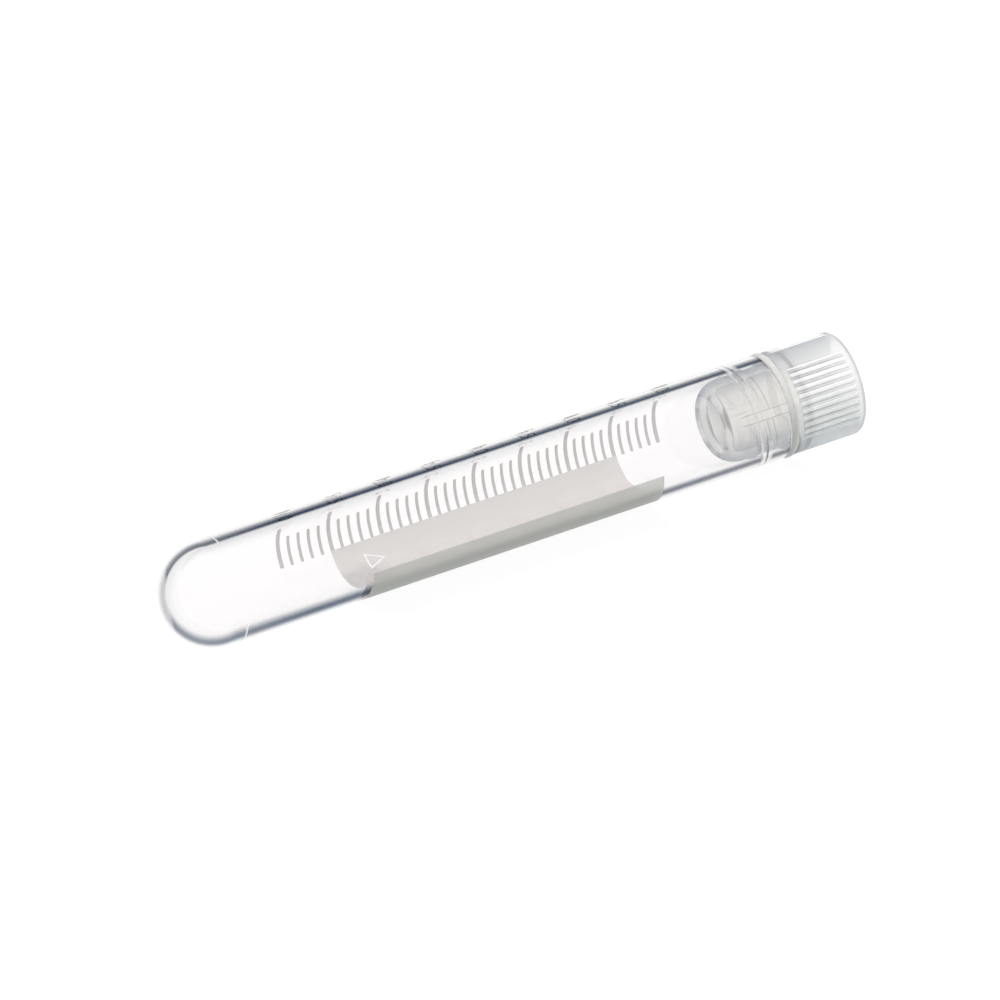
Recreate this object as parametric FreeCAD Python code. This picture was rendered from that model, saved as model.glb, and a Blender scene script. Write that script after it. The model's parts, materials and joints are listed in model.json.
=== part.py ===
"""A 5 ml cryogenic storage vial lying on its side, with +X towards its cap.

The pieces are a clear round-bottomed tube with a printed writing panel and volume scale, a silicone
gasket on its rim, and a knurled screw cap whose hollow plug threads into the tube. Each piece is built
upright, with its axis on Z and the centre of the tube's round bottom at 0, and is then laid down.
Lengths are in millimetres, angles in degrees."""
import FreeCAD, Part
import math
import os

# Tube
tube_r = 6.25  # outer radius
tube_length = 78.7  # lowest point of the round bottom to the rim
floor_wall = 2.1  # wall at the middle of the round bottom
wall_bottom = 1.41  # side wall at the bottom of the bore
wall_mouth = 0.9  # side wall at the mouth, thinner because the bore has draft
rim_round = 0.25  # round on both edges of the rim

# Thread: one ridge inside the tube's mouth and one around the plug, both right-handed
thread_lead = 2.5  # axial travel in one turn
ridge_root_width = 1.0
ridge_tip_width = 0.45
ridge_sink = 0.25  # how far a ridge's root is buried in the wall that carries it
tube_ridge_height = 0.30
tube_ridge_depth = 3.8  # below the rim, in the reference direction
tube_ridge_from = -190.0  # from the reference direction
tube_ridge_to = 200.0
plug_ridge_from = 0.0
plug_ridge_to = 440.0
ridge_flat_width = 0.9  # gap across the plug's ridge at each mould parting line
ridge_flat_at = 6.5  # from the reference direction, and again opposite

# Screw cap
head_length = 9.15
head_wall = 1.05  # around the open recess in the head
head_floor = 2.0  # between the recess and the gasket
head_edge_round = 0.85  # outer edge at the open end, if the wall is thick enough for it
lip_round = 0.12  # inner edge at the open end
lip_land = 0.06  # least flat between those two rounds
plug_length = 8.75  # below the underside of the head
plug_wall = 1.16
plug_floor = 1.4
nose_length = 2.2  # rounded end of the plug
nose_taper = 1.36  # how much the radius loses over the nose
cavity_corner = 0.55  # chamfer round the floor of the plug's hollow

# Knurling on the head
knurl_fields = 3
grooves_per_field = 10
groove_pitch = 8.5  # degrees
groove_depth = 0.22
groove_width = 0.5
groove_length = 7.2
plain_band = 0.65  # between the gasket and the grooves
knurl_middle = 9.6  # middle of one field, from the reference direction

# Gasket
seal_thickness = 0.8
seal_proud = 0.15  # how far it stands out past the tube's wall
seal_seam_at = -10.0  # from the reference direction

# Clearances
core_gap = 0.16  # plug's core to the crest of the tube's ridge
crest_gap = 0.08  # crest of the plug's ridge to the tube's bore
flank_gap = 0.2  # between the roots of the two ridges, along the axis
seal_gap = 0.09  # gasket's bore to the plug's core

# Print on the tube
print_t = 0.03  # thickness of the ink
scale_first = 10  # tenths of a millilitre at the lowest mark
marks_per_major = 5  # every fifth tenth is a long mark
scale_headroom = 2.0  # clear height kept between the top mark and the plug
major_width = 0.45
minor_width = 0.33
major_arc = 59.0
minor_arc = 39.5
panel_first = 15  # tenths of a millilitre at the panel's lower edge
panel_last = 45
panel_from = 38.3  # from the reference direction
panel_arc = 142.7

# The reference direction, from +Y towards +Z, with the vial on its side
reference_at = 136.3

# Derived places, along the axis from the centre of the round bottom
rim_z = tube_length - tube_r
bore_r_bottom = tube_r - wall_bottom
bore_r_mouth = tube_r - wall_mouth
bore_floor_z = floor_wall - tube_r
bore_start_z = bore_floor_z + bore_r_bottom
bore_slope = (bore_r_mouth - bore_r_bottom) / (rim_z - bore_start_z)
head_z = rim_z + seal_thickness
head_top_z = head_z + head_length
recess_z = head_z + head_floor
plug_end_z = head_z - plug_length
tube_ridge_z = rim_z - tube_ridge_depth
plug_ridge_z = tube_ridge_z - ridge_root_width - flank_gap

# Derived radii
tube_ridge_r = bore_r_mouth - tube_ridge_height
core_r = tube_ridge_r - core_gap
plug_ridge_r = bore_r_bottom + bore_slope * (plug_end_z - bore_start_z) - crest_gap
cavity_r = core_r - plug_wall
head_r = tube_r
recess_r = head_r - head_wall
edge_round = min(head_edge_round, head_wall - lip_round - lip_land)
seal_r = tube_r + seal_proud
seal_bore_r = core_r + seal_gap

UP = FreeCAD.Vector(0, 0, 1)
AXIS_POINT = FreeCAD.Vector(0, 0, 0)
FULL_TURN = 360.0


def point(radius, z):
    return FreeCAD.Vector(radius, 0, z)


def line(start, end):
    return Part.makeLine(point(*start), point(*end))


def arc(start, end, centre):
    """An arc in the profile plane, the short way round its centre."""
    radius = math.dist(start, centre)
    middle = [(start[i] + end[i]) / 2 - centre[i] for i in (0, 1)]
    reach = radius / math.hypot(*middle)
    via = [centre[i] + middle[i] * reach for i in (0, 1)]
    return Part.Arc(point(*start), point(*via), point(*end)).toShape()


def revolve(edges, angle=FULL_TURN):
    face = Part.Face(Part.Wire(edges))
    return face.revolve(AXIS_POINT, UP, angle)


def polygon(corners):
    closed = corners + corners[:1]
    return [line(closed[i], closed[i + 1]) for i in range(len(corners))]


def turned(shape, angle):
    return shape.rotated(AXIS_POINT, UP, angle)


def ridge(root_r, tip_r, z, start, end):
    """A thread ridge from one angle to another, centred on height z in the reference direction."""
    half_root = ridge_root_width / 2
    half_tip = ridge_tip_width / 2
    profile = Part.Wire(
        polygon([(root_r, -half_root), (tip_r, -half_tip), (tip_r, half_tip), (root_r, half_root)])
    )
    rise = thread_lead * (end - start) / FULL_TURN
    path = Part.makeHelix(thread_lead, rise, (root_r + tip_r) / 2)
    sweep = path.makePipeShell([profile], True, True)
    sweep.translate(FreeCAD.Vector(0, 0, z + thread_lead * start / FULL_TURN))
    return turned(sweep, start)


def volume_below(z):
    """What the tube holds up to a height, in cubic millimetres."""
    bowl = 2 / 3 * math.pi * bore_r_bottom**3
    radius = bore_r_bottom + bore_slope * (z - bore_start_z)
    return bowl + math.pi * (radius**3 - bore_r_bottom**3) / (3 * bore_slope)


def height_of(tenths):
    """The height that a volume in tenths of a millilitre comes to."""
    bowl = 2 / 3 * math.pi * bore_r_bottom**3
    above_bowl = tenths * 100.0 - bowl
    radius = (bore_r_bottom**3 + 3 * bore_slope * above_bowl / math.pi) ** (1 / 3)
    return bore_start_z + (radius - bore_r_bottom) / bore_slope


def top_mark():
    """The last long mark that stays below the plug, in tenths of a millilitre."""
    tenths = volume_below(plug_end_z - scale_headroom) / 100.0
    return int(tenths // marks_per_major) * marks_per_major


def make_tube():
    """The tube, moulded in one with the ridge of its thread."""
    walls = revolve(
        [
            arc((0, -tube_r), (tube_r, 0), (0, 0)),
            line((tube_r, 0), (tube_r, rim_z - rim_round)),
            arc(
                (tube_r, rim_z - rim_round),
                (tube_r - rim_round, rim_z),
                (tube_r - rim_round, rim_z - rim_round),
            ),
            line((tube_r - rim_round, rim_z), (bore_r_mouth + rim_round, rim_z)),
            arc(
                (bore_r_mouth + rim_round, rim_z),
                (bore_r_mouth, rim_z - rim_round),
                (bore_r_mouth + rim_round, rim_z - rim_round),
            ),
            line((bore_r_mouth, rim_z - rim_round), (bore_r_bottom, bore_start_z)),
            arc((bore_r_bottom, bore_start_z), (0, bore_floor_z), (0, bore_start_z)),
            line((0, bore_floor_z), (0, -tube_r)),
        ]
    )
    inner_ridge = ridge(
        bore_r_mouth + ridge_sink, tube_ridge_r, tube_ridge_z, tube_ridge_from, tube_ridge_to
    )
    return walls.fuse(inner_ridge)


def make_plug_ridge():
    """The plug's ridge, broken at the two mould parting lines."""
    whole = ridge(core_r - ridge_sink, plug_ridge_r, plug_ridge_z, plug_ridge_from, plug_ridge_to)
    flats = Part.makeBox(
        2 * tube_r,
        ridge_flat_width,
        plug_length,
        FreeCAD.Vector(-tube_r, -ridge_flat_width / 2, plug_end_z),
    )
    return whole.cut(turned(flats, ridge_flat_at))


def make_grooves():
    """The knurling's round-bottomed grooves, in fields with smooth pads between them."""
    half_width = groove_width / 2
    groove_r = (half_width**2 + groove_depth**2) / (2 * groove_depth)
    centre = FreeCAD.Vector(head_r - groove_depth + groove_r, 0, head_z + plain_band)
    groove = Part.makeCylinder(groove_r, groove_length, centre, UP)
    middle = (grooves_per_field - 1) / 2
    grooves = []
    for field in range(knurl_fields):
        field_at = knurl_middle + field * FULL_TURN / knurl_fields
        for i in range(grooves_per_field):
            grooves.append(turned(groove, field_at + (i - middle) * groove_pitch))
    return grooves


def make_cap():
    """The screw cap: a knurled head with an open recess, and a closed hollow plug with its thread."""
    nose_top_z = plug_end_z + nose_length
    nose_r = (nose_taper**2 + nose_length**2) / (2 * nose_taper)
    cavity_floor_z = plug_end_z + plug_floor
    lip_r = recess_r + lip_round
    shoulder_r = head_r - edge_round
    body = revolve(
        [
            line((0, plug_end_z), (core_r - nose_taper, plug_end_z)),
            arc((core_r - nose_taper, plug_end_z), (core_r, nose_top_z), (core_r - nose_r, nose_top_z)),
            line((core_r, nose_top_z), (core_r, head_z)),
            line((core_r, head_z), (head_r, head_z)),
            line((head_r, head_z), (head_r, head_top_z - edge_round)),
            arc(
                (head_r, head_top_z - edge_round),
                (shoulder_r, head_top_z),
                (shoulder_r, head_top_z - edge_round),
            ),
            line((shoulder_r, head_top_z), (lip_r, head_top_z)),
            arc(
                (lip_r, head_top_z), (recess_r, head_top_z - lip_round), (lip_r, head_top_z - lip_round)
            ),
            line((recess_r, head_top_z - lip_round), (recess_r, recess_z)),
            line((recess_r, recess_z), (cavity_r, recess_z)),
            line((cavity_r, recess_z), (cavity_r, cavity_floor_z + cavity_corner)),
            line((cavity_r, cavity_floor_z + cavity_corner), (cavity_r - cavity_corner, cavity_floor_z)),
            line((cavity_r - cavity_corner, cavity_floor_z), (0, cavity_floor_z)),
            line((0, cavity_floor_z), (0, plug_end_z)),
        ]
    )
    return body.cut(make_grooves()).fuse(make_plug_ridge())


def make_seal():
    """The gasket: a flat washer with a full round on its outer edge."""
    round_r = seal_thickness / 2
    middle_z = rim_z + round_r
    flat_r = seal_r - round_r
    washer = revolve(
        [
            line((seal_bore_r, rim_z), (flat_r, rim_z)),
            arc((flat_r, rim_z), (seal_r, middle_z), (flat_r, middle_z)),
            arc((seal_r, middle_z), (flat_r, head_z), (flat_r, middle_z)),
            line((flat_r, head_z), (seal_bore_r, head_z)),
            line((seal_bore_r, head_z), (seal_bore_r, rim_z)),
        ]
    )
    return turned(washer, seal_seam_at)


def ink(low_z, high_z, start, angle):
    """A patch of ink on the tube's outside, between two heights."""
    patch = revolve(
        polygon([(tube_r, low_z), (tube_r + print_t, low_z), (tube_r + print_t, high_z), (tube_r, high_z)]),
        angle,
    )
    return turned(patch, start)


def make_panel():
    """The writing panel, from one long mark to another, with the marks' own width past them."""
    low_z = height_of(panel_first) - major_width / 2
    high_z = height_of(panel_last) + major_width / 2
    return ink(low_z, high_z, panel_from, panel_arc)


def make_marks():
    """The volume scale, which starts at the panel's edge: one mark for each tenth of a millilitre."""
    marks = []
    for tenths in range(scale_first, top_mark() + 1):
        is_major = tenths % marks_per_major == 0
        half_width = (major_width if is_major else minor_width) / 2
        angle = major_arc if is_major else minor_arc
        z = height_of(tenths)
        marks.append(ink(z - half_width, z + half_width, panel_from + panel_arc, angle))
    return Part.makeCompound(marks)


def lay_down(shape):
    """Turns an upright piece to its place in the lying vial, with the gasket on the ground."""
    placed = turned(shape, reference_at)
    placed = placed.rotated(AXIS_POINT, FreeCAD.Vector(1, 1, 1), FULL_TURN / 3)
    placed.translate(FreeCAD.Vector((tube_r - head_top_z) / 2, 0, seal_r))
    return placed


pieces = {
    "vial_tube": make_tube(),
    "writing_panel": make_panel(),
    "graduation_marks": make_marks(),
    "seal_ring": make_seal(),
    "screw_cap": make_cap(),
}
os.makedirs("parts", exist_ok=True)
for name, piece in pieces.items():
    lay_down(piece).exportStep(f"parts/{name}.step")
    print(name, len(piece.Solids), "solids", round(piece.Volume, 3), "mm3")
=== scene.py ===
import json
import math

import bmesh
import bpy
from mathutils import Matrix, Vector


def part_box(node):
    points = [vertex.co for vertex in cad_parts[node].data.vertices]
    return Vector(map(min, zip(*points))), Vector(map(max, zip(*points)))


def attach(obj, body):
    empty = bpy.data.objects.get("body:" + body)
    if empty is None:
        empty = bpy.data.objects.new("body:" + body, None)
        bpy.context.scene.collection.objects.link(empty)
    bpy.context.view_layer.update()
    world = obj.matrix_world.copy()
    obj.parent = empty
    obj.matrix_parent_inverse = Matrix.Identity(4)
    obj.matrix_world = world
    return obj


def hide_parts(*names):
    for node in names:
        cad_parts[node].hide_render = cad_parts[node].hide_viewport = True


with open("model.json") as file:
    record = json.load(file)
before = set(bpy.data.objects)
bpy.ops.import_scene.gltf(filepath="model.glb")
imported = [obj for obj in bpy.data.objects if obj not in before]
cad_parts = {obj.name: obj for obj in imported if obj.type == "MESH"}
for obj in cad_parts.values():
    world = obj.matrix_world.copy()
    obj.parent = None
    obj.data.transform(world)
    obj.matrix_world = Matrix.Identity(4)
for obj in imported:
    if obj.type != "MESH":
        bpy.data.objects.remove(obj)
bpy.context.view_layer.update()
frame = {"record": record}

# ---------------------------------------------------------------------------------------------
# Camera: a long lens from above the round bottom's side, so that the vial rises to the right.
# The vial lies along X with its cap at the +X end, where the frame's barrel and tube have it.
# ---------------------------------------------------------------------------------------------
mm = 0.001
mounts = {m["name"]: m for m in frame["record"]["mounts"]}
tube_r = mounts["rack_barrel"]["dims"]["r_mm"] * mm
axis_z = mounts["rack_barrel"]["pos_m"][2]
bottom_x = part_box("vial_tube")[0].x
bowl_x = bottom_x + tube_r
camera_azimuth = math.radians(-27.355)
camera_elevation = math.radians(40.346)
camera_distance = 1.25
camera_lens = 388.7
sensor_width = 36
aim_along = 37.164 * mm
aim_below = 0.555 * mm
aim = Vector((bowl_x + aim_along, 0, axis_z - aim_below))
back = Vector(
    (
        math.sin(camera_azimuth) * math.cos(camera_elevation),
        -math.cos(camera_azimuth) * math.cos(camera_elevation),
        math.sin(camera_elevation),
    )
)
bpy.ops.object.camera_add(location=aim + back * camera_distance)
camera = bpy.context.object
camera.name = "camera"
camera.rotation_euler = back.to_track_quat("Z", "Y").to_euler()
camera.data.lens = camera_lens
camera.data.sensor_width = sensor_width
camera.data.clip_start = 0.05
camera.data.clip_end = 20
bpy.context.scene.camera = camera
bpy.context.scene.view_settings.view_transform = "Standard"

# ---------------------------------------------------------------------------------------------
# The tube: clear polypropylene, injection moulded in one piece, with a round bottom, a fine
# witness line where the bowl's mould insert ends, and the ridge of its thread inside the mouth.
# ---------------------------------------------------------------------------------------------
rim_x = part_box("seal_ring")[0].x
# Angles round the vial are counted from here, and this from +Y towards +Z
reference_at = math.radians(136.3)


def deselect():
    """Leaves edit mode and selects nothing, so that the next primitive is worked on alone."""
    if bpy.context.mode != "OBJECT":
        bpy.ops.object.mode_set(mode="OBJECT")
    bpy.ops.object.select_all(action="DESELECT")


def in_place(degrees, radius, x):
    """The point at a height over the axis and an angle round it from the reference direction."""
    angle = reference_at + math.radians(degrees)
    return Vector((x, radius * math.cos(angle), axis_z + radius * math.sin(angle)))


def draw_on(points):
    """Carries an outline on from its one selected end, through (x, radius) points."""
    for x, radius in points:
        mesh = bmesh.from_edit_mesh(bpy.context.object.data)
        here = next(v.co.copy() for v in mesh.verts if v.select)
        step = Vector((x, 0, axis_z + radius)) - here
        bpy.ops.mesh.extrude_region_move(TRANSFORM_OT_translate={"value": step})


def select_where(test):
    """Selects, in edit mode, the vertices whose places pass a test."""
    bpy.ops.mesh.select_all(action="DESELECT")
    bpy.ops.mesh.select_mode(type="VERT")
    mesh = bmesh.from_edit_mesh(bpy.context.object.data)
    for vertex in mesh.verts:
        vertex.select = test(vertex.co)
    mesh.select_flush(True)
    bmesh.update_edit_mesh(bpy.context.object.data)


def spin_round(steps):
    """Spins the whole outline once round the vial's axis and closes it."""
    bpy.ops.mesh.select_all(action="SELECT")
    bpy.ops.mesh.spin(
        steps=steps, angle=2 * math.pi, center=(0, 0, axis_z), axis=(1, 0, 0), use_auto_merge=True
    )
    bpy.ops.mesh.select_all(action="SELECT")
    bpy.ops.mesh.remove_doubles(threshold=1e-7)
    bpy.ops.mesh.normals_make_consistent(inside=False)
    bpy.ops.object.mode_set(mode="OBJECT")
    bpy.ops.object.shade_smooth()


def even(start, end, count):
    """Evenly spaced values from one to another, the first left out."""
    return [start + (end - start) * (i + 1) / count for i in range(count)]


thread_lead = 2.5 * mm
ridge_root = 1.0 * mm
ridge_tip = 0.45 * mm


def ridge_share(x, degrees, x_at_reference, start, end, fade=30.0):
    """How much of a thread ridge's full height stands at a place, from 0 to 1."""
    best = 0.0
    for turn in range(-2, 4):
        along = degrees + 360.0 * turn
        if not start <= along <= end:
            continue
        off = abs(x - x_at_reference - thread_lead * along / 360.0)
        flank = (ridge_root / 2 - off) / ((ridge_root - ridge_tip) / 2)
        ends = min(along - start, end - along) / fade
        share = max(0.0, min(flank, ends, 1.0))
        best = max(best, share * share * (3 - 2 * share))
    return best


def round_angle(co):
    """Degrees round the axis from the reference direction, from -180 to 180."""
    angle = math.degrees(math.atan2(co.z - axis_z, co.y) - reference_at)
    return (angle + 180.0) % 360.0 - 180.0


wall_mouth = 0.9 * mm
wall_bottom = 1.41 * mm
floor_wall = 2.1 * mm
rim_round = 0.25 * mm
bore_bottom_r = tube_r - wall_bottom
bore_mouth_r = tube_r - wall_mouth
bore_start_x = bottom_x + floor_wall + bore_bottom_r
tube_ridge_height = 0.27 * mm
tube_ridge_x = rim_x - 3.8 * mm
thread_top_x = rim_x - 0.6 * mm
thread_low_x = rim_x - 6.6 * mm
witness_x = bowl_x + 1.5 * mm
witness_height = 0.035 * mm
witness_half = 0.1 * mm
witness_clear = 0.16 * mm
barrel_end_x = rim_x - 0.4 * mm


def bore_r(x):
    """The radius of the tapered bore."""
    share = (x - bore_start_x) / (rim_x - bore_start_x)
    return bore_bottom_r + (bore_mouth_r - bore_bottom_r) * share


deselect()
quarter_steps = 40
tube_steps = 288
tube_ridge_from = -190.0
tube_ridge_to = 200.0
bpy.ops.mesh.primitive_circle_add(
    vertices=4 * quarter_steps,
    radius=tube_r,
    location=(bowl_x, 0, axis_z),
    rotation=(math.pi / 2, 0, 0),
)
tube = bpy.context.object
tube.name = "tube_body"
bpy.ops.object.transform_apply(location=True, rotation=True, scale=True)
bpy.ops.object.mode_set(mode="EDIT")
tiny = 1e-6
select_where(lambda co: co.x > bowl_x + tiny or co.z < axis_z - tiny)
bpy.ops.mesh.delete(type="VERT")
select_where(lambda co: co.x > bowl_x - tiny)
outside = [(x, tube_r) for x in even(bowl_x, witness_x - witness_clear, 3)]
outside += [(witness_x - witness_half, tube_r), (witness_x, tube_r + witness_height)]
outside += [(witness_x + witness_half, tube_r), (witness_x + witness_clear, tube_r)]
outside += [(x, tube_r) for x in even(witness_x + witness_clear, barrel_end_x, 40)]
outside += [(rim_x, tube_r), (rim_x, bore_mouth_r), (thread_top_x, bore_r(thread_top_x))]
thread_zone = [(x, bore_r(x)) for x in even(thread_top_x, thread_low_x, 70)]
barrel = [(x, bore_r(x)) for x in even(thread_low_x, bore_start_x, 36)]
bowl = [
    (
        bore_start_x - bore_bottom_r * math.sin(turn),
        bore_bottom_r * math.cos(turn),
    )
    for turn in even(0, math.pi / 2, quarter_steps)
]
draw_on(outside + thread_zone + barrel + bowl)
select_where(lambda co: co.x > rim_x - tiny)
bpy.ops.mesh.bevel(offset=rim_round, segments=5, affect="VERTICES")
spin_round(tube_steps)
for vertex in tube.data.vertices:
    out = math.hypot(vertex.co.y, vertex.co.z - axis_z)
    if thread_low_x - tiny < vertex.co.x < thread_top_x + tiny and out < bore_mouth_r + tiny:
        share = ridge_share(
            vertex.co.x, round_angle(vertex.co), tube_ridge_x, tube_ridge_from, tube_ridge_to
        )
        new_r = out - share * (tube_ridge_height - (bore_mouth_r - out))
        vertex.co.y *= new_r / out
        vertex.co.z = axis_z + (vertex.co.z - axis_z) * new_r / out


def feed(tree, sockets, values):
    """Sets each socket to its value, or links it where the value is another node's output."""
    for socket, value in zip(sockets, values):
        if isinstance(value, bpy.types.NodeSocket):
            tree.links.new(value, socket)
        else:
            socket.default_value = value


def maths(tree, operation, *values):
    """A maths node, with its inputs set or linked in order."""
    node = tree.nodes.new("ShaderNodeMath")
    node.operation = operation
    feed(tree, node.inputs, values)
    return node.outputs[0]


def mix_shaders(tree, share, first, second):
    """A shader that goes from one to another as a share goes from 0 to 1."""
    mix = tree.nodes.new("ShaderNodeMixShader")
    feed(tree, mix.inputs, (share, first.outputs[0], second.outputs[0]))
    return mix


# The colour of a painted glow, for rays that have crossed many walls
painted_room_glow = (0.8, 0.79, 0.77, 1.0)
most_walls = 7.5
most_turns = 2.5


def let_lamps_through(material, shader, tint):
    """Clear plastic hardly shades what is behind it, so lamps' rays pass straight through.
    A painted pale glow stands in for light that has crossed many walls or turned back in them
    often."""
    tree = material.node_tree
    path = tree.nodes.new("ShaderNodeLightPath")
    # Painted pale glow
    pale = tree.nodes.new("ShaderNodeEmission")
    pale.inputs["Color"].default_value = painted_room_glow
    walls = maths(tree, "GREATER_THAN", path.outputs["Ray Depth"], most_walls)
    turns = maths(tree, "GREATER_THAN", path.outputs["Glossy Depth"], most_turns)
    many = maths(tree, "MAXIMUM", walls, turns)
    body = mix_shaders(tree, many, shader, pale)
    clear = tree.nodes.new("ShaderNodeBsdfTransparent")
    clear.inputs["Color"].default_value = tint
    shown = mix_shaders(tree, path.outputs["Is Shadow Ray"], body, clear)
    tree.links.new(shown.outputs[0], tree.nodes["Material Output"].inputs["Surface"])


def new_material(name):
    material = bpy.data.materials.new(name)
    material.use_nodes = True
    return material, material.node_tree.nodes["Principled BSDF"]


plastic_ior = 1.49


def glass_shader(material, colour, roughness):
    tree = material.node_tree
    tree.nodes.remove(tree.nodes["Principled BSDF"])
    glass = tree.nodes.new("ShaderNodeBsdfGlass")
    glass.inputs["Color"].default_value = colour
    glass.inputs["Roughness"].default_value = roughness
    glass.inputs["IOR"].default_value = plastic_ior
    return glass


def ramp(tree, value, from_low, from_high, to_low, to_high, smooth=False):
    """Maps a value from one range to another and holds it within the second."""
    node = tree.nodes.new("ShaderNodeMapRange")
    node.interpolation_type = "SMOOTHSTEP" if smooth else "LINEAR"
    feed(tree, node.inputs, (value, from_low, from_high, to_low, to_high))
    return node.outputs[0]


def between(tree, share, first, second):
    """A number that goes from one to another as a share goes from 0 to 1."""
    return ramp(tree, share, 0.0, 1.0, first, second)


def blend(tree, share, first, second):
    """A colour that goes from one to another as a share goes from 0 to 1."""
    node = tree.nodes.new("ShaderNodeMix")
    node.data_type = "RGBA"
    sockets = [node.inputs[name] for name in ("Factor", "A", "B")]
    feed(tree, sockets, (share, first, second))
    return node.outputs["Result"]


def surface_parts(tree):
    """The place and the normal on a surface, each split in X, Y and Z, and the normal unsplit."""
    here = tree.nodes.new("ShaderNodeTexCoord")
    split = []
    for name in ("Object", "Normal"):
        parts = tree.nodes.new("ShaderNodeSeparateXYZ")
        tree.links.new(here.outputs[name], parts.inputs[0])
        split.append(parts.outputs)
    return *split, here.outputs["Normal"]


clear_white = (0.99, 0.985, 0.985, 1.0)
wall_shadow = (0.97, 0.97, 0.97, 1.0)
bore_plastic, _ = new_material("clear_polypropylene_bore")
let_lamps_through(bore_plastic, glass_shader(bore_plastic, clear_white, 0.0), wall_shadow)

# A dark line is painted along each edge of the barrel's outside, in place of the light that the
# wall
# turns away where it is seen steeply: blacker and finer on the upper side, and finer towards the
# mouth, where the wall is thinner. Its numbers are how steeply the wall is seen, from 0 face on to
# 1 edge on.
start_low, start_up, start_mouth = 0.28, 0.45, 0.46
darkest_low, darkest_up = 0.6, 0.53
end_low, end_up = 0.89, 0.83
end_low_mouth, end_up_mouth = 0.8, 0.75
line_low = (0.155, 0.195, 0.265, 1.0)
line_up = (0.03, 0.047, 0.09, 1.0)
line_low_mouth = (0.27, 0.28, 0.31, 1.0)
line_up_mouth = (0.1, 0.12, 0.16, 1.0)
painted_line_faint = (0.6, 0.605, 0.61, 1.0)
nose_towards = (-0.922, 0.369, -0.113)
nose_from, nose_full = 0.7, 0.83
bowl_fade_from = bowl_x - 4.0 * mm
bowl_fade_to = bowl_x + 10.0 * mm
bowl_faint = 0.33
witness_break = 0.35
ridge_break = 0.25
ridge_break_half = 0.45 * mm
ridge_break_end = 0.95 * mm
# Painted shade beside the edge line, outside it and inside it
painted_rim_shade = (0.75, 0.76, 0.78, 1.0)
painted_inside_shade = (0.85, 0.86, 0.865, 1.0)
outer_plastic, _ = new_material("clear_polypropylene")
tree = outer_plastic.node_tree
glass = glass_shader(outer_plastic, clear_white, 0.0)
weight = tree.nodes.new("ShaderNodeLayerWeight")
weight.inputs["Blend"].default_value = 0.5
facing = weight.outputs["Facing"]
place, normal, outwards = surface_parts(tree)
up = ramp(tree, normal["Z"], -0.6, 0.6, 0.0, 1.0, True)
along = ramp(tree, place["X"], bowl_x, rim_x, 0.0, 1.0)
line_start = between(tree, along, between(tree, up, start_low, start_up), start_mouth)
line_dark = between(tree, up, darkest_low, darkest_up)
line_end = between(
    tree,
    along,
    between(tree, up, end_low, end_up),
    between(tree, up, end_low_mouth, end_up_mouth),
)
inner_flank = ramp(tree, facing, line_start, line_dark, 0.0, 1.0, True)
outer_flank = ramp(tree, facing, line_dark, line_end, 1.0, 0.0, True)
shade = maths(tree, "MULTIPLY", inner_flank, outer_flank)
# The painted line breaks at the witness ring, over the thread's ridge and at the rim's round
witness = maths(tree, "COMPARE", place["X"], witness_x, witness_half)
turn = maths(tree, "ARCTAN2", maths(tree, "SUBTRACT", place["Z"], axis_z), place["Y"])
turn = maths(tree, "SUBTRACT", turn, reference_at)
turn = maths(tree, "WRAP", turn, math.pi, -math.pi)
rise = maths(tree, "MULTIPLY", turn, thread_lead / (2 * math.pi))
off_ridge = maths(tree, "SUBTRACT", place["X"], rise)
off_ridge = maths(tree, "SUBTRACT", off_ridge, tube_ridge_x)
off_ridge = maths(tree, "ABSOLUTE", off_ridge)
for unbroken in (
    between(tree, witness, 1.0, witness_break),
    ramp(tree, off_ridge, ridge_break_half, ridge_break_end, ridge_break, 1.0, True),
    ramp(tree, normal["X"], 0.03, 0.2, 1.0, 0.0),
):
    shade = maths(tree, "MULTIPLY", shade, unbroken)
# The painted line is faint round the nose of the bowl, and fades in along the barrel from there
nose_turn = tree.nodes.new("ShaderNodeVectorMath")
nose_turn.operation = "DOT_PRODUCT"
tree.links.new(outwards, nose_turn.inputs[0])
nose_turn.inputs[1].default_value = nose_towards
nose = ramp(tree, nose_turn.outputs["Value"], nose_from, nose_full, 0.0, 1.0, True)
round_end = ramp(tree, place["X"], bowl_fade_from, bowl_fade_to, bowl_faint, 0.0)
low_colour = blend(tree, up, line_low, line_up)
mouth_colour = blend(tree, up, line_low_mouth, line_up_mouth)
painted_line_colour = blend(tree, along, low_colour, mouth_colour)
painted_line_colour = blend(tree, maths(tree, "MAXIMUM", nose, round_end), painted_line_colour, painted_line_faint)
# Painted shade: outside the line the plastic is greyer, and faintly so inside it on the upper side
wall_and_painted_shade = blend(tree, ramp(tree, facing, 0.8, 1.0, 0.0, 1.0, True), clear_white, painted_rim_shade)
inside = maths(tree, "MULTIPLY", up, ramp(tree, facing, 0.22, 0.45, 0.0, 1.0, True))
inside = maths(tree, "MULTIPLY", inside, ramp(tree, facing, line_dark, line_end, 1.0, 0.0))
wall_and_painted_shade = blend(tree, inside, wall_and_painted_shade, painted_inside_shade)
tree.links.new(blend(tree, shade, wall_and_painted_shade, painted_line_colour), glass.inputs["Color"])
let_lamps_through(outer_plastic, glass, wall_shadow)
tube.data.materials.append(outer_plastic)
tube.data.materials.append(bore_plastic)
for face in tube.data.polygons:
    from_bowl = face.center - Vector((max(face.center.x, bowl_x), 0, axis_z))
    if from_bowl.dot(face.normal) < 0:
        face.material_index = 1
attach(tube, "tube")
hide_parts("vial_tube")

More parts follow.
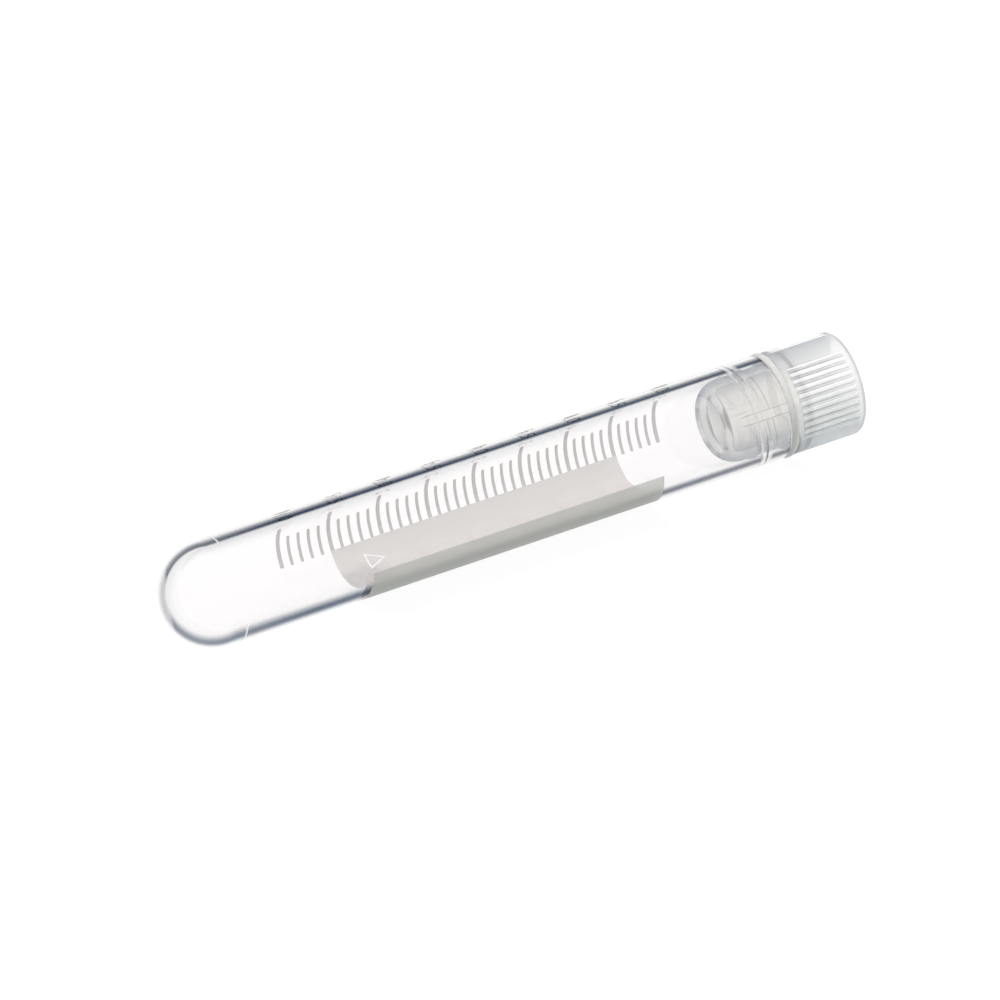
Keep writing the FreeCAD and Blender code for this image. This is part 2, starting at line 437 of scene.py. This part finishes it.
# ---------------------------------------------------------------------------------------------
# The print: matt ink screened onto the barrel. The writing panel, the scale's marks and its
# numerals are drawn flat, with the vial's axis along X and the way round it along Y, then wrapped.
# ---------------------------------------------------------------------------------------------
ink_gap = 0.003 * mm
ink_t = 0.025 * mm
major_width = 0.49 * mm
minor_width = 0.38 * mm
panel_from = 37.2
panel_to = 182.3
free_mark_from = panel_to - 1.5
major_to = 247.3
minor_to = 223.3
bend_step = 0.2 * mm


def across(degrees):
    """Where an angle round the barrel lies across a flat drawing."""
    return -tube_r * math.radians(degrees)


def wrap(piece):
    """Bends a flat drawing round the barrel, after cutting it into strips narrow enough to bend."""
    deselect()
    bpy.context.view_layer.objects.active = piece
    piece.select_set(True)
    bpy.ops.object.transform_apply(location=True, rotation=True, scale=True)
    bpy.ops.object.mode_set(mode="EDIT")
    bpy.ops.mesh.select_all(action="SELECT")
    bpy.ops.mesh.remove_doubles(threshold=1e-7)
    bpy.ops.mesh.dissolve_degenerate(threshold=1e-7)
    bpy.ops.mesh.normals_make_consistent(inside=False)
    low = min(v.co.y for v in piece.data.vertices)
    high = max(v.co.y for v in piece.data.vertices)
    for y in even(low, high, max(1, math.ceil((high - low) / bend_step)))[:-1]:
        bpy.ops.mesh.select_all(action="SELECT")
        bpy.ops.mesh.bisect(plane_co=(0, y, 0), plane_no=(0, 1, 0))
    bpy.ops.mesh.select_all(action="SELECT")
    bpy.ops.mesh.dissolve_degenerate(threshold=2e-7)
    bpy.ops.object.mode_set(mode="OBJECT")
    for vertex in piece.data.vertices:
        x, y, z = vertex.co
        vertex.co = in_place(math.degrees(-y / tube_r), tube_r + z, x)
    piece.data.update()


# Volumes and the heights that they come to in the bore
draft = (bore_mouth_r - bore_bottom_r) / (rim_x - bore_start_x)


def mark_x(millilitres):
    above_bowl = millilitres * 1e-6 - 2 / 3 * math.pi * bore_bottom_r**3
    radius = (bore_bottom_r**3 + 3 * draft * above_bowl / math.pi) ** (1 / 3)
    return bore_start_x + (radius - bore_bottom_r) / draft


ink_roughness = 0.7


def ink_material(name, colour, cover, edge_cover, shine=0.5):
    """Matt ink that lets some light through, and less of it where it is seen edge on."""
    material, matt = new_material(name)
    matt.inputs["Base Color"].default_value = colour
    matt.inputs["Roughness"].default_value = ink_roughness
    matt.inputs["Specular IOR Level"].default_value = shine
    tree = material.node_tree
    side = tree.nodes.new("ShaderNodeNewGeometry")
    weight = tree.nodes.new("ShaderNodeLayerWeight")
    coverage = ramp(tree, weight.outputs["Facing"], 0.25, 0.6, cover, edge_cover)
    front = between(tree, side.outputs["Backfacing"], coverage, 0.0)
    tree.links.new(front, matt.inputs["Alpha"])
    return material


panel_colour = (0.59, 0.554, 0.528, 1.0)
# Painted shade for the panel's lower corner
painted_corner_shade = (0.32, 0.29, 0.283, 1.0)
panel_ink = ink_material("panel_ink", panel_colour, 0.62, 0.86)
# Painted shade: its inner face, seen through the barrel, is darker in the lower corner
# next to the round bottom
tree = panel_ink.node_tree
place, normal, _ = surface_parts(tree)
lower_side = ramp(tree, normal["Y"], -0.4, -0.1, 0.0, 1.0)
inner_face = ramp(tree, normal["Z"], 0.3, 0.6, 0.0, 1.0)
corner_from = mark_x(1.5) + 2.0 * mm
corner_to = mark_x(1.5) + 6.5 * mm
near_end = ramp(tree, place["X"], corner_from, corner_to, 1.0, 0.0, True)
corner = maths(tree, "MULTIPLY", lower_side, inner_face)
corner = maths(tree, "MULTIPLY", corner, near_end)
panel_shader = tree.nodes["Principled BSDF"]
tree.links.new(blend(tree, corner, panel_colour, painted_corner_shade), panel_shader.inputs["Base Color"])
scale_colour = (0.36, 0.335, 0.33, 1.0)
scale_ink = ink_material("scale_ink", scale_colour, 0.64, 0.92, shine=0.0)
corner_share = 0.35


def flat_bar(name, x, width, start, end, rounded_start=True):
    """A mark with rounded ends, drawn flat from one angle to another."""
    deselect()
    y0, y1 = across(start), across(end)
    bpy.ops.mesh.primitive_cube_add(size=1, location=(x, (y0 + y1) / 2, ink_gap + ink_t / 2))
    bar = bpy.context.object
    bar.name = name
    bar.scale = (width, y0 - y1, ink_t)
    bpy.ops.object.transform_apply(location=False, rotation=False, scale=True)
    bpy.ops.object.mode_set(mode="EDIT")
    bpy.ops.mesh.select_all(action="DESELECT")
    mesh = bmesh.from_edit_mesh(bar.data)
    for edge in mesh.edges:
        a, b = edge.verts
        upright = abs(a.co.z - b.co.z) > ink_t / 2
        edge.select = upright and (rounded_start or a.co.y < 0)
    bmesh.update_edit_mesh(bar.data)
    bpy.ops.mesh.select_mode(type="EDGE")
    bpy.ops.mesh.bevel(offset=width * corner_share, segments=4, affect="EDGES")
    bpy.ops.object.mode_set(mode="OBJECT")
    return bar


marks = []
for tenths in range(10, 51):
    major = tenths % 5 == 0
    beside_panel = 15 <= tenths <= 45
    marks.append(
        flat_bar(
            f"mark_{tenths}",
            mark_x(tenths / 10),
            major_width if major else minor_width,
            panel_to if beside_panel else free_mark_from,
            major_to if major else minor_to,
            rounded_start=not beside_panel,
        )
    )
deselect()
for mark in marks:
    mark.select_set(True)
bpy.context.view_layer.objects.active = marks[0]
bpy.ops.object.join()
scale = bpy.context.object
scale.name = "scale_marks"
wrap(scale)
scale.data.materials.clear()
scale.data.materials.append(scale_ink)
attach(scale, "tube")
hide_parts("graduation_marks")

deselect()
panel_low = mark_x(1.5) - major_width / 2
panel_high = mark_x(4.5) + major_width / 2
bpy.ops.mesh.primitive_cube_add(
    size=1,
    location=(
        (panel_low + panel_high) / 2,
        (across(panel_from) + across(panel_to)) / 2,
        ink_gap + ink_t / 2,
    ),
)
panel = bpy.context.object
panel.name = "panel_field"
panel.scale = (panel_high - panel_low, across(panel_from) - across(panel_to), ink_t)


def flat_triangle(reach, thickness):
    """A triangle with its point towards the cap, drawn flat in the panel's corner."""
    deselect()
    bpy.ops.mesh.primitive_cylinder_add(
        vertices=3,
        radius=reach,
        depth=thickness,
        location=(panel_low + triangle_in, across(triangle_at), ink_gap + ink_t / 2),
        rotation=(0, 0, -math.pi / 2),
    )
    bpy.ops.object.transform_apply(location=True, rotation=True, scale=True)
    return bpy.context.object


# A small triangle is left unprinted in the panel as a fine outline
triangle_in = 4.4 * mm
triangle_at = 153.5
triangle_reach = 1.6 * mm
triangle_line = 0.24 * mm
window = flat_triangle(triangle_reach, 4 * ink_t)
inner = flat_triangle(triangle_reach - 2 * triangle_line, ink_t)
cut = panel.modifiers.new("cut", "BOOLEAN")
cut.operation = "DIFFERENCE"
cut.solver = "EXACT"
cut.object = window
deselect()
bpy.context.view_layer.objects.active = panel
panel.select_set(True)
bpy.ops.object.modifier_apply(modifier="cut")
bpy.data.objects.remove(window)
inner.select_set(True)
bpy.ops.object.join()
wrap(panel)
# Both ends run a little towards the cap on the panel's lower part, where degrees are fewer
low_end_shift = 0.5 * mm
high_end_shift = 0.85 * mm
low_shift_from = 90.0
high_shift_from = 145.0
high_shift_over = 40.0
for vertex in panel.data.vertices:
    degrees = round_angle(vertex.co) % 360.0
    if vertex.co.x < (panel_low + panel_high) / 2:
        share = max(0.0, (low_shift_from - degrees) / (low_shift_from - panel_from))
        vertex.co.x += low_end_shift * share
    else:
        share = max(0.0, min(1.0, (high_shift_from - degrees) / high_shift_over))
        vertex.co.x += high_end_shift * share
panel.data.materials.append(panel_ink)
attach(panel, "tube")
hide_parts("writing_panel")

numeral_height = 1.9 * mm
size_for_height = 1.37
numeral_middle = 267.5
for halves in range(2, 11):
    deselect()
    bpy.ops.object.text_add(
        location=(mark_x(halves / 2), across(numeral_middle), ink_gap + ink_t / 2),
        rotation=(0, 0, -math.pi / 2),
    )
    numeral = bpy.context.object
    numeral.name = f"numeral_{halves * 5}"
    numeral.data.body = f"{halves / 2:.1f}"
    numeral.data.size = numeral_height * size_for_height
    numeral.data.align_x = "CENTER"
    numeral.data.align_y = "CENTER"
    numeral.data.extrude = ink_t / 2
    numeral.data.resolution_u = 4
    bpy.ops.object.convert(target="MESH")
    numeral = bpy.context.object
    wrap(numeral)
    numeral.data.materials.clear()
    numeral.data.materials.append(scale_ink)
    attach(numeral, "tube")

# ---------------------------------------------------------------------------------------------
# The gasket: a moulded silicone washer between the tube's rim and the head of the cap, with a full
# round on its outer edge. It clings to the plug, so it rises with the cap.
# ---------------------------------------------------------------------------------------------
seal_low, seal_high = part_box("seal_ring")
head_x = seal_high.x
seal_r = (seal_high.z - seal_low.z) / 2
seal_bore_r = 4.95 * mm
seal_round = (head_x - rim_x) / 2
seal_steps = 192
cloud_colour = (0.985, 0.98, 0.97, 1.0)
cloud_shadow = (0.85, 0.85, 0.85, 1.0)


def edge_share(tree, normal_x):
    """How much denser a cloudy plastic looks: more where it is seen edge on, less on flat ends."""
    weight = tree.nodes.new("ShaderNodeLayerWeight")
    edge = ramp(tree, weight.outputs["Facing"], 0.1, 0.75, 0.0, 1.0, True)
    end_on = maths(tree, "ABSOLUTE", normal_x)
    return maths(tree, "MULTIPLY", edge, ramp(tree, end_on, 0.98, 1.0, 1.08, 0.1))


def cloudy(material, colour, roughness, milk, glow_share):
    """A clear plastic with some milkiness, of which a share glows with the light behind it."""
    tree = material.node_tree
    glass = glass_shader(material, cloud_colour, 0.0)
    glow = tree.nodes.new("ShaderNodeBsdfTranslucent")
    matt = tree.nodes.new("ShaderNodeBsdfDiffuse")
    coloured = [shader.inputs["Color"] for shader in (glow, matt, glass)]
    feed(tree, coloured + [glass.inputs["Roughness"]], (colour, colour, colour, roughness))
    scattered = mix_shaders(tree, glow_share, matt, glow)
    let_lamps_through(material, mix_shaders(tree, milk, glass, scattered), cloud_shadow)


deselect()
bpy.ops.mesh.primitive_circle_add(
    vertices=48,
    radius=seal_round,
    location=((rim_x + head_x) / 2, 0, axis_z + seal_r - seal_round),
    rotation=(math.pi / 2, 0, 0),
)
seal = bpy.context.object
seal.name = "gasket"
bpy.ops.object.transform_apply(location=True, rotation=True, scale=True)
bpy.ops.object.mode_set(mode="EDIT")
select_where(lambda co: co.z < axis_z + seal_r - seal_round - tiny)
bpy.ops.mesh.delete(type="VERT")
select_where(lambda co: co.x < rim_x + tiny)
draw_on([(rim_x, seal_bore_r), (head_x, seal_bore_r), (head_x, seal_r - seal_round)])
spin_round(seal_steps)
seal_edge = (0.93, 0.93, 0.92, 1.0)
silicone, _ = new_material("silicone")
tree = silicone.node_tree
_, normal, _ = surface_parts(tree)
seal_colour = blend(tree, edge_share(tree, normal["X"]), cloud_colour, seal_edge)
cloudy(silicone, seal_colour, roughness=0.2, milk=0.52, glow_share=0.5)
seal.data.materials.append(silicone)
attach(seal, "seal")
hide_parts("seal_ring")

# ---------------------------------------------------------------------------------------------
# The screw cap: natural polypropylene, moulded in one piece. Its knurled head is open at the top,
# and its hollow plug, closed below, carries the thread between two flats at the mould's parting.
# ---------------------------------------------------------------------------------------------
head_top_x = mounts["cap_face"]["pos_m"][0]
head_r = tube_r
head_wall = 1.05 * mm
recess_r = head_r - head_wall
recess_x = head_x + 2.0 * mm
recess_corner = 0.15 * mm
edge_round = 0.85 * mm
lip_round = 0.12 * mm
corner_middle = 0.3
plug_end_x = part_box("screw_cap")[0].x
core_r = 5.0 * mm
nose_length = 2.2 * mm
nose_taper = 1.36 * mm
nose_flat = 0.15 * mm
nose_round = (nose_taper**2 + nose_length**2) / (2 * nose_taper)
cavity_r = 3.73 * mm
cavity_corner = 0.55 * mm
cavity_lip = 0.1 * mm
cavity_floor_x = plug_end_x + 1.4 * mm
plug_ridge_r = 5.20 * mm
plug_ridge_x = tube_ridge_x - 1.2 * mm
plug_ridge_turn = 440.0
plug_thread_end_x = head_x - 0.3 * mm
knurl_low_x = head_x + 0.65 * mm
knurl_high_x = knurl_low_x + 7.55 * mm
knurl_depth = 0.22 * mm
knurl_fade = 0.3 * mm
field_step = 120.0
field_middle = 9.6
grooves_per_field = 10
groove_pitch = 8.5
groove_half = 2.3
land_half = 0.45 * mm
land_flank = 0.13 * mm
land_height = 0.06 * mm
land_at = 9.0
painted_land_edge = 0.97
deselect()
bpy.ops.mesh.primitive_circle_add(
    vertices=64,
    radius=edge_round,
    location=(head_top_x - edge_round, 0, axis_z + head_r - edge_round),
    rotation=(math.pi / 2, 0, 0),
)
cap = bpy.context.object
cap.name = "cap_body"
bpy.ops.object.transform_apply(location=True, rotation=True, scale=True)
bpy.ops.object.mode_set(mode="EDIT")
select_where(
    lambda co: co.x < head_top_x - edge_round - tiny or co.z < axis_z + head_r - edge_round - tiny
)
bpy.ops.mesh.delete(type="VERT")
select_where(lambda co: co.x > head_top_x - tiny)
inner_side = [
    (head_top_x, recess_r + lip_round),
    (head_top_x - lip_round * corner_middle, recess_r + lip_round * corner_middle),
    (head_top_x - lip_round, recess_r),
    (recess_x + recess_corner, recess_r),
    (recess_x + recess_corner * corner_middle, recess_r - recess_corner * corner_middle),
    (recess_x, recess_r - recess_corner),
    (recess_x, cavity_r + cavity_lip),
    (recess_x - cavity_lip, cavity_r),
    (cavity_floor_x + cavity_corner, cavity_r),
    (cavity_floor_x, cavity_r - cavity_corner),
    (cavity_floor_x, 0),
]
draw_on(inner_side)
select_where(lambda co: co.z > axis_z + head_r - tiny)
thread_from_x = plug_end_x + nose_length
from_knurl_end = (-0.06 * mm, 0.0, 0.12 * mm, knurl_fade)
outer_side = [(knurl_high_x - inwards, head_r) for inwards in from_knurl_end]
outer_side += [(knurl_low_x + inwards, head_r) for inwards in reversed(from_knurl_end)]
outer_side += [(head_x, head_r), (head_x, core_r)]
outer_side += [(x, core_r) for x in even(head_x, thread_from_x, 70)]
outer_side += [
    (x, core_r - nose_round + math.sqrt(nose_round**2 - (thread_from_x - x) ** 2))
    for x in even(thread_from_x, plug_end_x, 12)
]
outer_side += [(plug_end_x, core_r - nose_taper - nose_flat), (plug_end_x, 0)]
draw_on(outer_side)
cap_steps = 720
spin_round(cap_steps)


def in_field_at(degrees):
    """Degrees from the middle of the nearest of the three knurled fields."""
    return (degrees - field_middle + field_step / 2) % field_step - field_step / 2


def groove_share(degrees):
    """How much of a groove's full depth is cut at an angle."""
    in_field = in_field_at(degrees)
    nearest = round(in_field / groove_pitch - 0.5) + 0.5
    if abs(nearest) > grooves_per_field / 2:
        return 0.0
    off = abs(in_field - nearest * groove_pitch) / groove_half
    return math.sqrt(max(0.0, 1.0 - off**2))


# The hollow share marks where painted shade darkens the grooves and the flats' edges
hollow = cap.data.attributes.new("hollow", "FLOAT", "POINT")
rib = cap.data.attributes.new("rib", "FLOAT", "POINT")
for vertex in cap.data.vertices:
    out = math.hypot(vertex.co.y, vertex.co.z - axis_z)
    degrees = round_angle(vertex.co)
    new_r = out
    if out > head_r - tiny and knurl_low_x - tiny < vertex.co.x < knurl_high_x + tiny:
        from_end = min(vertex.co.x - knurl_low_x, knurl_high_x - vertex.co.x)
        fade = math.sin(min(1.0, from_end / knurl_fade) * math.pi / 2)
        new_r = out - knurl_depth * groove_share(degrees) * fade
        hollow.data[vertex.index].value = groove_share(degrees) * fade
        if abs(in_field_at(degrees)) < grooves_per_field / 2 * groove_pitch:
            rib.data[vertex.index].value = (1.0 - groove_share(degrees)) * fade
    elif core_r - tiny < out < core_r + tiny and vertex.co.x < plug_thread_end_x:
        share = ridge_share(vertex.co.x, degrees, plug_ridge_x, 0.0, plug_ridge_turn)
        off = abs(math.sin(math.radians(degrees - land_at))) * core_r
        on_land = max(0.0, min(1.0, (land_half + land_flank - off) / land_flank))
        new_r = out + (land_height * on_land if on_land else share * (plug_ridge_r - core_r))
        # The flats' edges are marked as hollows, so that painted shade draws them as fine dark
        # lines
        hollow.data[vertex.index].value = painted_land_edge if 0.0 < on_land < 1.0 else 0.0
    if new_r != out:
        vertex.co.y *= new_r / out
        vertex.co.z = axis_z + (vertex.co.z - axis_z) * new_r / out

plug_edge = (0.64, 0.665, 0.7, 1.0)
head_edge = (0.74, 0.755, 0.78, 1.0)
# Painted shade for the hollows, where they face the lamps and where they face away
painted_hollow_lit = (0.98, 0.975, 0.985, 1.0)
painted_hollow_dark = (0.5, 0.51, 0.55, 1.0)
rib_cloud = 2.5
roughness_along = (0.03, 0.1, 0.12)
milk_along = (0.15, 0.25, 0.32)
base_blend = 0.5 * mm
above_base_from = head_x + 1.9 * mm
above_base_to = head_x + 2.5 * mm
cap_plastic, _ = new_material("natural_polypropylene")
tree = cap_plastic.node_tree
place, normal, _ = surface_parts(tree)
marked = {}
for name in ("hollow", "rib"):
    node = tree.nodes.new("ShaderNodeAttribute")
    node.attribute_name = name
    marked[name] = node.outputs["Fac"]
on_rib = marked["rib"]
in_groove = maths(tree, "POWER", marked["hollow"], 3.0)
in_head = ramp(tree, place["X"], head_x, head_x + base_blend, 0.0, 1.0)
# Painted shade in the hollows: lightest where they face the lamps, darker at the top and below
lit = ramp(tree, normal["Z"], 0.0, 0.55, 0.0, 1.0)
lit = maths(tree, "MULTIPLY", lit, ramp(tree, normal["Z"], 0.78, 0.95, 1.0, 0.25))
lit = maths(tree, "MULTIPLY", lit, between(tree, in_head, 0.78, 1.0))
painted_hollow_shade = blend(tree, lit, painted_hollow_dark, painted_hollow_lit)
# Edges show less on ribs
edge = maths(tree, "MULTIPLY", edge_share(tree, normal["X"]), between(tree, on_rib, 1.0, 0.2))
cap_colour = blend(tree, edge, cloud_colour, blend(tree, in_head, plug_edge, head_edge))
cap_colour = blend(tree, in_groove, cap_colour, painted_hollow_shade)
# Roughness and milkiness go from the plug to the head's base and the rest of the head, and are
# greater on ribs and in lit hollows, where the extra milk is painted light that lightens them
cloud = maths(tree, "MULTIPLY", in_groove, ramp(tree, lit, 0.8, 1.0, 0.0, 0.6))
cloud = between(tree, maths(tree, "MAXIMUM", on_rib, cloud), 1.0, rib_cloud)
shares = []
for in_plug, in_base, above in (roughness_along, milk_along):
    share = ramp(tree, place["X"], head_x - base_blend, head_x, in_plug, in_base)
    share = ramp(tree, place["X"], above_base_from, above_base_to, share, above)
    shares.append(maths(tree, "MULTIPLY", share, cloud))
cap_roughness, cap_milk = shares
cloudy(cap_plastic, cap_colour, cap_roughness, cap_milk, between(tree, on_rib, 0.5, 0.17))
cap.data.materials.append(cap_plastic)
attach(cap, "cap")
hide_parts("screw_cap")

# ---------------------------------------------------------------------------------------------
# Floor, backdrop and lamps: a white sweep lit softly from above. What the clear plastic reflects
# inside its own walls comes from the dark room round the sweep, which greys its edges; the dark
# lines along the tube's edges are painted on its outside.
# ---------------------------------------------------------------------------------------------
room_white = (1.0, 1.0, 1.0, 1.0)
room_dark = (0.6, 0.625, 0.67, 1.0)
most_turned = 7.0


def seen_colour(tree):
    """White, or the dark room for rays that were turned back inside the plastic's walls, and a
    share that is 1 for the rays that are to see it."""
    path = tree.nodes.new("ShaderNodeLightPath")
    depth = path.outputs["Glossy Depth"]
    turned = maths(tree, "MULTIPLY", depth, depth)
    turned = maths(tree, "MULTIPLY", turned, path.outputs["Is Transmission Ray"])
    turned = ramp(tree, turned, 0.0, most_turned, 0.0, 1.0)
    colour = blend(tree, turned, room_white, room_dark)
    through = (path.outputs["Is Glossy Ray"], path.outputs["Is Transmission Ray"])
    seen = maths(tree, "MAXIMUM", path.outputs["Is Camera Ray"], maths(tree, "MAXIMUM", *through))
    unlit = maths(tree, "LESS_THAN", path.outputs["Diffuse Depth"], 0.5)
    return colour, maths(tree, "MULTIPLY", seen, unlit)


# The floor shows white by its own glow, and takes the vial's shadow on a faint matt share
floor_size = 6.0
floor_colour = (0.52, 0.6, 0.585, 1.0)
sweep_glow = 0.9
sweep_faint = (0.12, 0.12, 0.12, 1.0)
deselect()
bpy.ops.mesh.primitive_plane_add(size=floor_size, location=(0, 0, 0))
floor = bpy.context.object
floor.name = "floor"
floor_material, matt_floor = new_material("white_floor")
tree = floor_material.node_tree
matt_floor.inputs["Base Color"].default_value = floor_colour
matt_floor.inputs["Roughness"].default_value = 0.9
matt_floor.inputs["Specular IOR Level"].default_value = 0.0
colour, seen = seen_colour(tree)
glow = tree.nodes.new("ShaderNodeEmission")
glow.inputs["Strength"].default_value = sweep_glow
tree.links.new(colour, glow.inputs["Color"])
faint = tree.nodes.new("ShaderNodeBsdfDiffuse")
faint.inputs["Color"].default_value = sweep_faint
shown = tree.nodes.new("ShaderNodeAddShader")
tree.links.new(glow.outputs[0], shown.inputs[0])
tree.links.new(faint.outputs[0], shown.inputs[1])
surface = mix_shaders(tree, seen, matt_floor, shown)
tree.links.new(surface.outputs[0], tree.nodes["Material Output"].inputs["Surface"])
floor.data.materials.append(floor_material)

room_light = 0.5
world = bpy.data.worlds.new("white_room")
bpy.context.scene.world = world
world.use_nodes = True
tree = world.node_tree
colour, seen = seen_colour(tree)
strength = tree.nodes.new("ShaderNodeMix")
strength.data_type = "FLOAT"
strength.inputs["A"].default_value = room_light
strength.inputs["B"].default_value = 1.0
tree.links.new(seen, strength.inputs["Factor"])
tree.links.new(colour, tree.nodes["Background"].inputs["Color"])
tree.links.new(strength.outputs["Result"], tree.nodes["Background"].inputs["Strength"])

for name, place, size, power in (
    ("key_lamp", (-0.35, 0.25, 0.85), 0.6, 9.5),
    ("fill_lamp", (0.5, -0.6, 0.6), 0.5, 1.6),
):
    deselect()
    bpy.ops.object.light_add(type="AREA", location=place)
    lamp = bpy.context.object
    lamp.name = name
    lamp.data.size = size
    lamp.data.energy = power
    lamp.visible_glossy = False
    lamp.visible_transmission = False
    lamp.rotation_euler = Vector(place).to_track_quat("Z", "Y").to_euler()

deselect()
